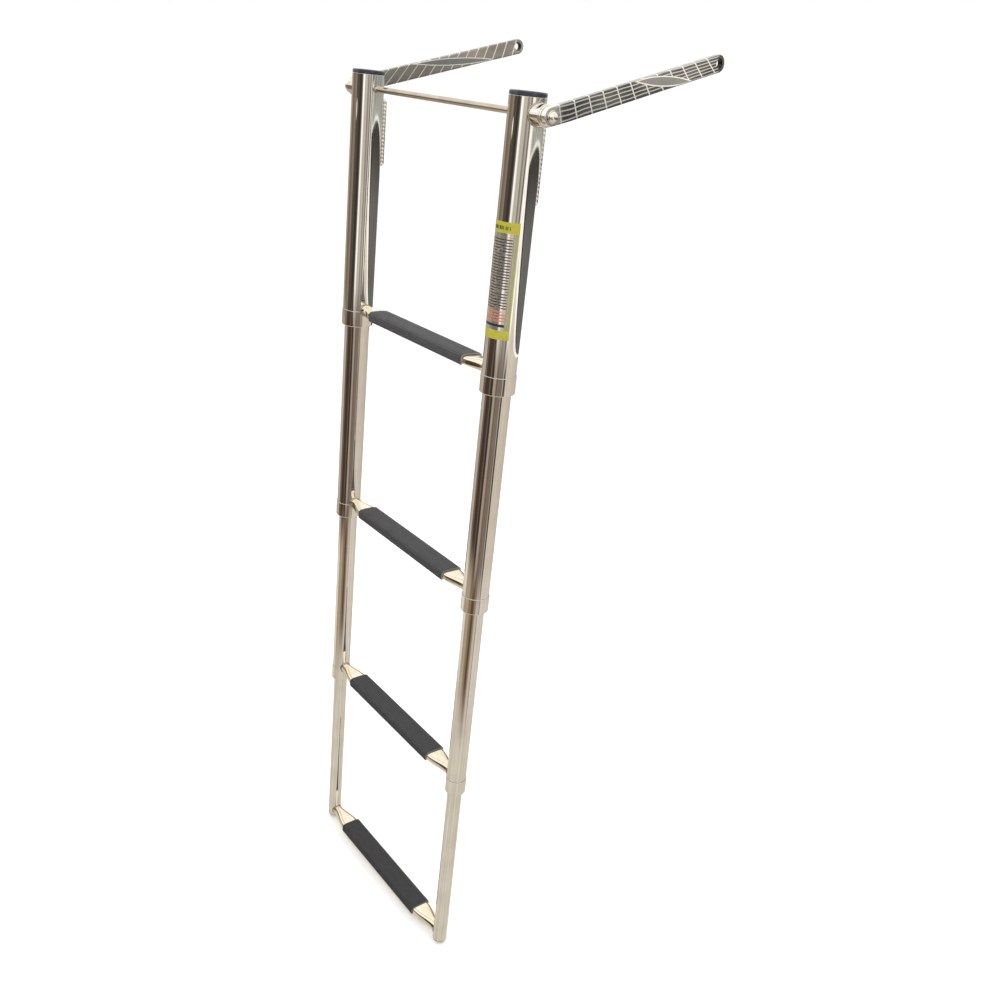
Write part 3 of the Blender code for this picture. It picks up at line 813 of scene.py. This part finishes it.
def make_nut(side_name):
    """Domed nut on a thin flange."""
    bore = ROD_RADIUS + GAP
    top = HEAD_BASE + HEAD_HEIGHT
    flange = 0.0011
    shoulder = HEAD_RADIUS - 0.0008
    outline = [(0.0, HEAD_BORE_END), (bore, HEAD_BORE_END), (bore, HEAD_BASE),
               (HEAD_RADIUS - 0.0002, HEAD_BASE), (HEAD_RADIUS, HEAD_BASE + 0.0002),
               (HEAD_RADIUS, HEAD_BASE + flange - 0.0003), (HEAD_RADIUS - 0.0003, HEAD_BASE + flange),
               (shoulder, HEAD_BASE + flange)]
    steps = 16
    for i in range(1, steps):
        angle = math.pi / 2.0 * i / steps
        outline.append((shoulder * math.cos(angle) ** 0.8,
                        HEAD_BASE + flange + (top - HEAD_BASE - flange) * math.sin(angle)))
    outline.append((0.0, top))
    finish_piece(f"dome_nut_{side_name}", lathe(outline, False), MAT["fitting"], "upper_stage",
                 (f"rod_nut_{side_name}",), sideways(SIDES[side_name], rail_x(side_name)))


def eye_rings(centre, hole_radius, outward, count):
    """Hole and rim points of an arm's eye, squared off on the side that meets the bar."""
    hole = []
    edge = []
    for i in range(count):
        angle = 2.0 * math.pi * i / count
        c = math.cos(angle)
        s = math.sin(angle)
        hole.append((centre - outward * hole_radius * c, hole_radius * s))
        stretch = 1.0 / max(abs(c), abs(s)) if c > 1.0e-9 else 1.0
        reach = ARM_HALF_HEIGHT * stretch
        edge.append((centre - outward * reach * c, reach * s))
    return hole, edge


def make_arm(side_name):
    side = SIDES[side_name]
    bm = bmesh.new()
    count = ARM_ROUND

    def place(points):
        return [bm.verts.new((0.0, s, h)) for s, h in points]

    near_hole, near_edge = (place(ring) for ring in eye_rings(0.0, ROD_HOLE_RADIUS, -1.0, count))
    far_hole, far_edge = (place(ring) for ring in eye_rings(ARM_LENGTH, ARM_END_HOLE_RADIUS, 1.0, count))
    bridge(bm, near_edge, near_hole)
    bridge(bm, far_edge, far_hole)
    facing = [i % count for i in range(-count // 8, count // 8 + 1)]
    rows = [[near_edge[i] for i in facing]]
    for s in (ARM_BEND_AT - 0.004, ARM_BEND_AT, ARM_BEND_AT + 0.004):
        rows.append(place([(s, vert.co.z) for vert in rows[0]]))
    rows.append([far_edge[i] for i in facing])
    for first, second in zip(rows, rows[1:]):
        bridge(bm, first, second, closed=False)
    grown = bmesh.ops.extrude_face_region(bm, geom=list(bm.faces), use_keep_orig=True)
    moved = [item for item in grown["geom"] if isinstance(item, bmesh.types.BMVert)]
    bmesh.ops.translate(bm, verts=moved, vec=(side * ARM_THICKNESS, 0.0, 0.0))
    bmesh.ops.recalc_face_normals(bm, faces=bm.faces)
    rims = [e for e in bm.edges if len(e.link_faces) == 2 and e.calc_face_angle() > math.radians(60.0)]
    round_over = 0.0007
    bmesh.ops.bevel(bm, geom=rims, offset=round_over, segments=3, profile=0.5, affect="EDGES")
    soft = 0.003
    for vert in bm.verts:
        past = vert.co.y - ARM_BEND_AT
        bend = 0.0 if past < -soft else (past + soft) ** 2 / (4.0 * soft) if past < soft else past
        vert.co.x += side * (ARM_INNER_FACE - bend * math.tan(ARM_TOE_IN))
    pose = at(rail_x(side_name)) @ Matrix.Rotation(ARM_RISE, 4, "X")
    finish_piece(f"bar_arm_{side_name}", bm, MAT[f"arm_{side_name}"], f"arm_{side_name}",
                 (f"arm_{side_name}",), pose, sharp=30.0)


def make_standoff(side_name):
    front, back = STANDOFF_Y
    bottom, top = STANDOFF_Z
    corner = 0.0025
    outline = fillet([(front, bottom, 0.0), (back, bottom, corner), (back, top, corner),
                      (front, top, 0.0)], 8)
    bm = bmesh.new()
    face = bm.faces.new([bm.verts.new((-STANDOFF_HALF_WIDTH, y, z)) for y, z in outline])
    grown = bmesh.ops.extrude_face_region(bm, geom=[face], use_keep_orig=True)
    moved = [item for item in grown["geom"] if isinstance(item, bmesh.types.BMVert)]
    bmesh.ops.translate(bm, verts=moved, vec=(2.0 * STANDOFF_HALF_WIDTH, 0.0, 0.0))
    bmesh.ops.recalc_face_normals(bm, faces=bm.faces)
    rims = [e for e in bm.edges if e.calc_face_angle() > math.radians(60.0)
            and min(v.co.y for v in e.verts) > front + 0.0005]
    round_over = 0.0026
    bmesh.ops.bevel(bm, geom=rims, offset=round_over, segments=7, profile=0.5, affect="EDGES")
    finish_piece(f"standoff_bar_{side_name}", bm, MAT["standoff"], "upper_stage",
                 (f"rear_standoff_{side_name}",), at(rail_x(side_name)), sharp=30.0)
    bm = bmesh.new()
    path = []
    sizes = []
    half = STANDOFF_HALF_WIDTH
    level = TUBE_RADII[0] + WELD_OFFSET
    inset = 0.001  # from the bar's ends
    blob_below = 0.006  # a heavier patch of weld near the top
    blob_reach = 0.010
    for direction, x in ((1, -half), (-1, half)):
        for i in range(STANDOFF_BEAD_STEPS):
            share = i / (STANDOFF_BEAD_STEPS - 1)
            share = share if direction == 1 else 1.0 - share
            z = bottom + inset + (top - bottom - 2.0 * inset) * share
            path.append(Vector((x, level, z)))
            beat = 0.5 + 0.5 * math.cos(2.0 * math.pi * z / STANDOFF_BEAD_PITCH)
            drift = noise.noise(Vector((x * 300.0, z * 60.0, 3.0)))
            blob = max(0.0, 1.0 - abs(z - top + blob_below) / blob_reach)
            sizes.append(STANDOFF_BEAD * (0.45 + 0.75 * beat + 0.30 * drift + 0.4 * blob))
    sweep(bm, path, sizes, level=True)
    finish_piece(f"weld_standoff_{side_name}", bm, MAT["weld_bright"], "upper_stage",
                 place=at(rail_x(side_name)), sharp=180.0)


def make_label():
    inner, outer = (TUBE_RADII[0] + height for height in LABEL_FILM)
    first, last = LABEL_ANGLES
    bottom, top = LABEL_Z
    steps = 48
    bm = bmesh.new()
    rings = []
    for i in range(steps + 1):
        angle = first + (last - first) * i / steps
        away = Vector((math.sin(angle), -math.cos(angle), 0.0))
        corners = ((inner, bottom), (outer, bottom), (outer, top), (inner, top))
        rings.append([bm.verts.new(away * r + Vector((0.0, 0.0, z))) for r, z in corners])
    for ring, following in zip(rings, rings[1:]):
        bridge(bm, ring, following)
    bm.faces.new(rings[0])
    bm.faces.new(rings[-1])
    finish_piece("film_label", bm, MAT["label"], "upper_stage", ("label",), at(RAIL_X))


# ---------------------------------------------------------------- studio

def stage_mesh(name, outline, mat):
    """A turned surface of the studio, which is no part of the ladder."""
    bm = lathe(outline, False, STUDIO_ROUND)
    mesh = bpy.data.meshes.new(name)
    bm.to_mesh(mesh)
    bm.free()
    mesh.materials.append(mat)
    mesh.shade_smooth()
    obj = bpy.data.objects.new(name, mesh)
    bpy.context.scene.collection.objects.link(obj)
    return obj


def make_floor():
    mat, net, shader, place = start_material("studio_floor")
    fine = net.noise(place, 6.0, 3.0)
    net.link(net.mix(fine, (0.94, 0.94, 0.94, 1.0), (0.97, 0.97, 0.97, 1.0)), shader.inputs["Base Color"])
    shader.inputs["Roughness"].default_value = 0.85
    shader.inputs["Specular IOR Level"].default_value = 0.1
    flat = 5.0
    curve = 3.0
    wall_top = 7.0
    steps = 24
    outline = [(0.0, FLOOR_Z), (1.0, FLOOR_Z), (flat, FLOOR_Z)]
    for i in range(1, steps + 1):
        angle = math.pi / 2.0 * i / steps
        outline.append((flat + curve * math.sin(angle), FLOOR_Z + curve * (1.0 - math.cos(angle))))
    outline.append((flat + curve, FLOOR_Z + wall_top))
    floor = stage_mesh("studio_floor", outline, mat)
    floor.visible_glossy = False
    floor.visible_shadow = False


def reflection_material():
    """Soft bands of dark, brown and cream card round the studio, seen only in polished metal."""
    mat = bpy.data.materials.new("reflection_cards")
    mat.use_nodes = True
    net = Net(mat.node_tree)
    glow = net.add("ShaderNodeEmission")
    out = net.add("ShaderNodeOutputMaterial")
    net.link(glow.outputs[0], out.inputs["Surface"])
    place = net.add("ShaderNodeTexCoord").outputs["Object"]
    parts = net.add("ShaderNodeSeparateXYZ")
    net.link(place, parts.inputs[0])
    height = parts.outputs["Z"]
    turn = net.math("ARCTAN2", parts.outputs["X"], net.mul(parts.outputs["Y"], -1.0))
    degrees = net.mul(turn, 180.0 / math.pi)
    sway = net.mul(net.sub(net.noise(net.stretch(place, 1.0, 1.0, 0.7), 1.2, 2.0), 0.5), 14.0)
    seam = -125.0
    swayed = net.math("ADD", degrees, sway)
    around = net.math("FRACT", net.math("DIVIDE", net.sub(swayed, seam), 360.0))
    edge = 1.3

    def bands(starts):
        """Colour round the studio; each (degrees from -Y towards +X, colour) runs crisply to the next."""
        stops = [(0.0, srgb(*starts[0][1]))]
        for (_, before), (angle, after) in zip(starts, starts[1:]):
            stops.append(((angle - edge - seam) / 360.0, srgb(*before)))
            stops.append(((angle + edge - seam) / 360.0, srgb(*after)))
        stops.append((1.0, srgb(*starts[-1][1])))
        return net.ramp(around, stops)

    upper = bands([(-125, (160, 148, 132)), (-72, (116, 103, 89)), (-48, (132, 120, 106)),
                   (-28, (82, 75, 67)), (-8, (60, 55, 51)), (13, (128, 121, 112)),
                   (20, (255, 254, 250)), (34, (176, 170, 162)), (41, (202, 194, 182)),
                   (54, (132, 127, 120)), (62, (176, 170, 162)), (74, (112, 106, 100)), (81, (252, 248, 238)),
                   (98, (206, 197, 182)), (200, (146, 140, 132))])
    middle = bands([(-125, (172, 163, 152)), (-52, (112, 95, 81)), (-30, (66, 56, 50)), (0, (110, 91, 76)),
                    (9, (60, 53, 48)), (26, (158, 147, 136)), (43, (116, 100, 88)), (60, (118, 108, 98)),
                    (79, (160, 152, 142)), (85, (66, 60, 57)), (96, (198, 188, 176)), (170, (184, 175, 166))])
    lower = bands([(-125, (212, 204, 192)), (-42, (164, 150, 130)), (10, (132, 112, 92)), (28, (94, 74, 58)),
                   (50, (138, 122, 106)), (64, (188, 179, 168)), (88, (120, 110, 102)), (94, (206, 198, 188)),
                   (170, (192, 184, 172))])
    soil = net.span(net.noise(place, 1.4, 3.0), 0.35, 0.65)
    ground = net.mix(soil, srgb(190, 182, 167), srgb(206, 200, 188))
    colour = net.mix(net.span(height, -0.62, -0.82), upper, middle)
    colour = net.mix(net.span(height, -1.42, -1.62), colour, lower)
    colour = net.mix(net.span(height, -1.90, -2.25), colour, ground)
    streaks = net.noise(net.stretch(place, 1.0, 1.0, 0.05), 8.0, 4.0, 0.65)
    shade = net.span(streaks, 0.32, 0.68, 0.74, 1.22)
    shade = net.mix(net.span(height, -1.75, -2.10), shade, (1.0, 1.0, 1.0, 1.0))
    colour = net.mix(1.0, colour, shade, "MULTIPLY")
    depth = net.math("DIVIDE", net.math("MULTIPLY_ADD", height, -1.0, -0.02), 0.78, clamp=True)
    left = net.math("MULTIPLY_ADD", net.math("POWER", depth, 2.0), 50.0, 97.0)
    left = net.math("MULTIPLY_ADD", net.math("POWER", depth, 24.0), 88.0, left)
    full_turn = net.math("FRACT", net.math("DIVIDE", net.sub(degrees, seam), 360.0))
    past = net.sub(net.math("MULTIPLY_ADD", full_turn, 360.0, seam), left)
    tall = net.span(height, -0.84, -0.80)
    rim = net.mul(net.span(past, -13.0, -9.0), tall)
    colour = net.mix(net.mul(rim, net.span(height, -0.10, -0.30)), colour, srgb(255, 252, 246))
    deep = net.mix(net.span(height, -0.18, -0.42), srgb(66, 63, 61), srgb(104, 103, 100))
    panel = net.mix(net.span(past, 2.0, 12.0), srgb(44, 42, 42), deep)
    patches = net.span(net.noise(place, 7.0, 3.0), 0.35, 0.65)
    pale = net.mix(patches, srgb(124, 125, 122), srgb(190, 190, 184))
    across = net.math("DIVIDE", net.sub(past, 45.0), 45.0)
    bowl = net.math("MULTIPLY_ADD", net.math("POWER", across, 2.0), 0.05, height)
    panel = net.mix(net.span(bowl, -0.148, -0.136), panel, pale)
    arc = net.mul(net.span(bowl, -0.154, -0.145), net.span(bowl, -0.128, -0.138))
    panel = net.mix(arc, panel, srgb(240, 238, 230))
    inside = net.mul(net.span(past, 0.0, 2.0), tall)
    panel = net.mix(1.0, panel, net.span(streaks, 0.35, 0.65, 0.80, 1.15), "MULTIPLY")
    colour = net.mix(inside, colour, panel)
    spot_x = net.math("DIVIDE", net.math("ADD", degrees, 24.0), 3.4)
    spot_z = net.math("DIVIDE", net.math("ADD", height, 0.115), 0.028)
    spot = net.math("ADD", net.math("POWER", spot_x, 2.0), net.math("POWER", spot_z, 2.0))
    colour = net.mix(net.span(spot, 1.2, 0.7), colour, srgb(255, 250, 240))
    sky = net.mix(net.span(net.noise(place, 0.9, 3.0), 0.38, 0.62), srgb(240, 234, 222), srgb(255, 255, 253))
    colour = net.mix(net.span(height, 0.0, 0.05), colour, sky)
    net.link(colour, glow.inputs["Color"])
    glow.inputs["Strength"].default_value = 1.15
    return mat


def make_reflections():
    """A wall round the studio that only reflections see."""
    wall = 2.0
    low = -6.0
    high = 3.0
    outline = [(0.0, low), (wall, low), (wall, -4.0), (wall, -2.0), (wall, 0.0), (wall, high), (0.0, high)]
    cards = stage_mesh("reflection_cards", outline, reflection_material())
    cards.visible_camera = False
    cards.visible_diffuse = False
    cards.visible_shadow = False
    cards.visible_transmission = False
    cards.visible_volume_scatter = False


def make_lights():
    world = bpy.data.worlds.new("studio_world")
    world.use_nodes = True
    back = world.node_tree.nodes["Background"]
    back.inputs["Color"].default_value = (1.0, 1.0, 1.0, 1.0)
    back.inputs["Strength"].default_value = 1.12
    bpy.context.scene.world = world
    for name, position, size, power in LIGHTS:
        light = bpy.data.lights.new(name, "AREA")
        light.shape = "DISK"
        light.size = size
        light.energy = power
        lamp = bpy.data.objects.new(name, light)
        bpy.context.scene.collection.objects.link(lamp)
        lamp.location = position
        aim = Vector((0.0, 0.0, -0.5)) - lamp.location
        lamp.rotation_euler = aim.to_track_quat("-Z", "Y").to_euler()
        lamp.visible_glossy = False


def make_camera():
    forward = math.cos(CAMERA_PITCH)
    ahead = Vector((-math.sin(CAMERA_YAW) * forward, math.cos(CAMERA_YAW) * forward, -math.sin(CAMERA_PITCH)))
    level = Vector((math.cos(CAMERA_YAW), math.sin(CAMERA_YAW), 0.0))
    up = level.cross(ahead)
    right = level * math.cos(CAMERA_ROLL) + up * math.sin(CAMERA_ROLL)
    up = up * math.cos(CAMERA_ROLL) - level * math.sin(CAMERA_ROLL)
    turn = Matrix((right, up, -ahead)).transposed().to_4x4()
    lens = bpy.data.cameras.new("camera")
    lens.sensor_width = CAMERA_SENSOR
    lens.lens = CAMERA_LENS
    lens.clip_start = 0.01
    lens.clip_end = 100.0
    camera = bpy.data.objects.new("camera", lens)
    camera.matrix_world = at(*CAMERA_AT) @ turn
    bpy.context.scene.collection.objects.link(camera)
    bpy.context.scene.camera = camera


# ---------------------------------------------------------------- assembly

STEEL_LIGHT = srgb(246, 243, 238)
STEEL_DARK = srgb(234, 230, 223)
MAT = {
    "weld": weld_material("weld_steel", ((120, 104, 88), (186, 176, 160), (222, 214, 198))),
    "weld_bright": weld_material("weld_bright_steel", ((196, 188, 178), (236, 232, 226), (255, 254, 252))),
    "cap": plastic_material("cap_plastic", srgb(32, 36, 48), srgb(58, 62, 74), 0.22, 0.40, 1400.0, 0.0001),
    "guide": plastic_material("guide_acetal", srgb(214, 212, 206), srgb(188, 184, 174), 0.35, 0.5, 900.0,
                              0.0001),
    "collar": steel_material("steel_collar", STEEL_LIGHT, STEEL_DARK, 0.03, 0.06, 0.06),
    "rung": steel_material("steel_rung", srgb(250, 243, 226), srgb(236, 224, 200), 0.06, 0.11, 0.12, "x"),
    "rod": steel_material("steel_rod", srgb(214, 206, 194), srgb(188, 178, 163), 0.12, 0.20, 0.06, "z"),
    "fitting": steel_material("steel_fitting", STEEL_LIGHT, STEEL_DARK, 0.05, 0.10, 0.06),
    "foot": steel_material("steel_foot", STEEL_LIGHT, STEEL_DARK, 0.08, 0.14, 0.08),
    "standoff": steel_material("steel_standoff", STEEL_LIGHT, srgb(196, 186, 170), 0.14, 0.28, 0.30),
    # The two arms are one part: their line patterns, lens patches and grounds are painted reflections, with
    # the right arm painted darker.
    "arm_left": arm_material("steel_arm_left", 0.0155, (-1.62, 4.6), 0.0030, 0.08,
                             (0.146, -0.14, 0.060, 0.0040), ((146, 141, 137), (178, 172, 167))),
    "arm_right": arm_material("steel_arm_right", 0.0202, (0.03, 3.2), 0.0035, 0.70,
                              (0.158, -0.20, 0.043, 0.0048), ((76, 75, 76), (122, 121, 122))),
    "label": label_material(),
}
for stage in (1, 2, 3, 4):
    MAT[f"steel_{stage}"] = steel_material(f"steel_tube_{stage}", STEEL_LIGHT, STEEL_DARK, 0.025, 0.055, 0.08)
    # Painted shade: each tread lower down is painted darker, and its cut ends too.
    shade = (56, 50, 43, 38)[stage - 1]
    cut = (140, 128, 116, 104)[stage - 1]
    MAT[f"tread_{stage}"] = tread_material(f"tread_rubber_{stage}", srgb(shade, shade, shade + 2),
                                           srgb(cut, cut, cut - 4))

make_cross_rod()
make_label()
for side_name in SIDES:
    make_cap(side_name)
    make_boss(side_name)
    make_washer(side_name)
    make_nut(side_name)
    make_arm(side_name)
    make_standoff(side_name)
    make_foot(side_name)
    for stage in (1, 2, 3, 4):
        make_rail(stage, side_name)
    for stage in (1, 2, 3):
        make_collar(stage, side_name)
        make_guides(stage, side_name)
for stage in (1, 2, 3, 4):
    make_rung(stage)
    make_tread(stage)
make_floor()
make_reflections()
make_lights()
make_camera()
bpy.context.scene.view_settings.view_transform = "Standard"
